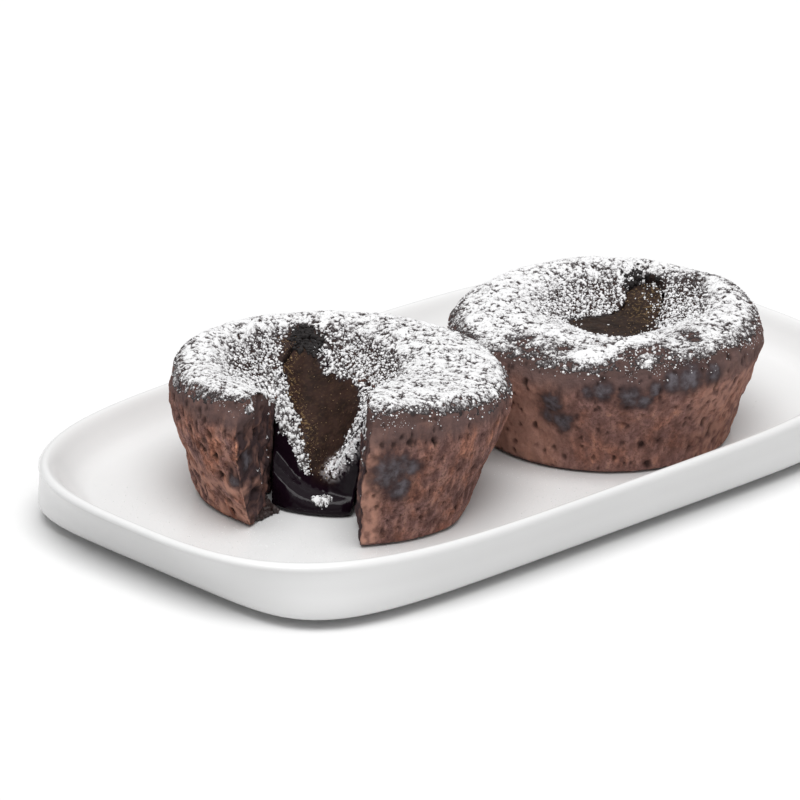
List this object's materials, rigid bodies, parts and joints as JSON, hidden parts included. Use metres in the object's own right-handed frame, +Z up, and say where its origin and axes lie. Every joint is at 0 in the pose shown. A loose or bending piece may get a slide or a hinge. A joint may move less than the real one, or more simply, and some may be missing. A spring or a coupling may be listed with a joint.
{
  "type": "chocolate lava cake",
  "caption": "Small chocolate lava cakes on an oblong porcelain plate; one is cut open and molten chocolate runs out of it.",
  "frame": {"origin": "under the middle of the plate, on the surface that its foot ring rests on", "axes": "+X along the plate's length, +Y to the plate's long side away from the viewer, +Z up"},
  "size_m": [0.2124, 0.1164, 0.0429],
  "materials": {
    "porcelain": "white glaze",
    "cut_cake_crumb": "porous baked chocolate crumb, powdered sugar on top",
    "molten_chocolate": "wet glossy dark chocolate",
    "whole_cake_crumb": "porous baked chocolate crumb, powdered sugar on top",
    "pool_chocolate": "satin dark chocolate"
  },
  "bodies": {
    "root": {"plate": "porcelain", "cut_cake": "cut_cake_crumb", "molten_chocolate": "molten_chocolate", "whole_cake": "whole_cake_crumb", "chocolate_pool": "pool_chocolate"}
  },
  "joints": []
}
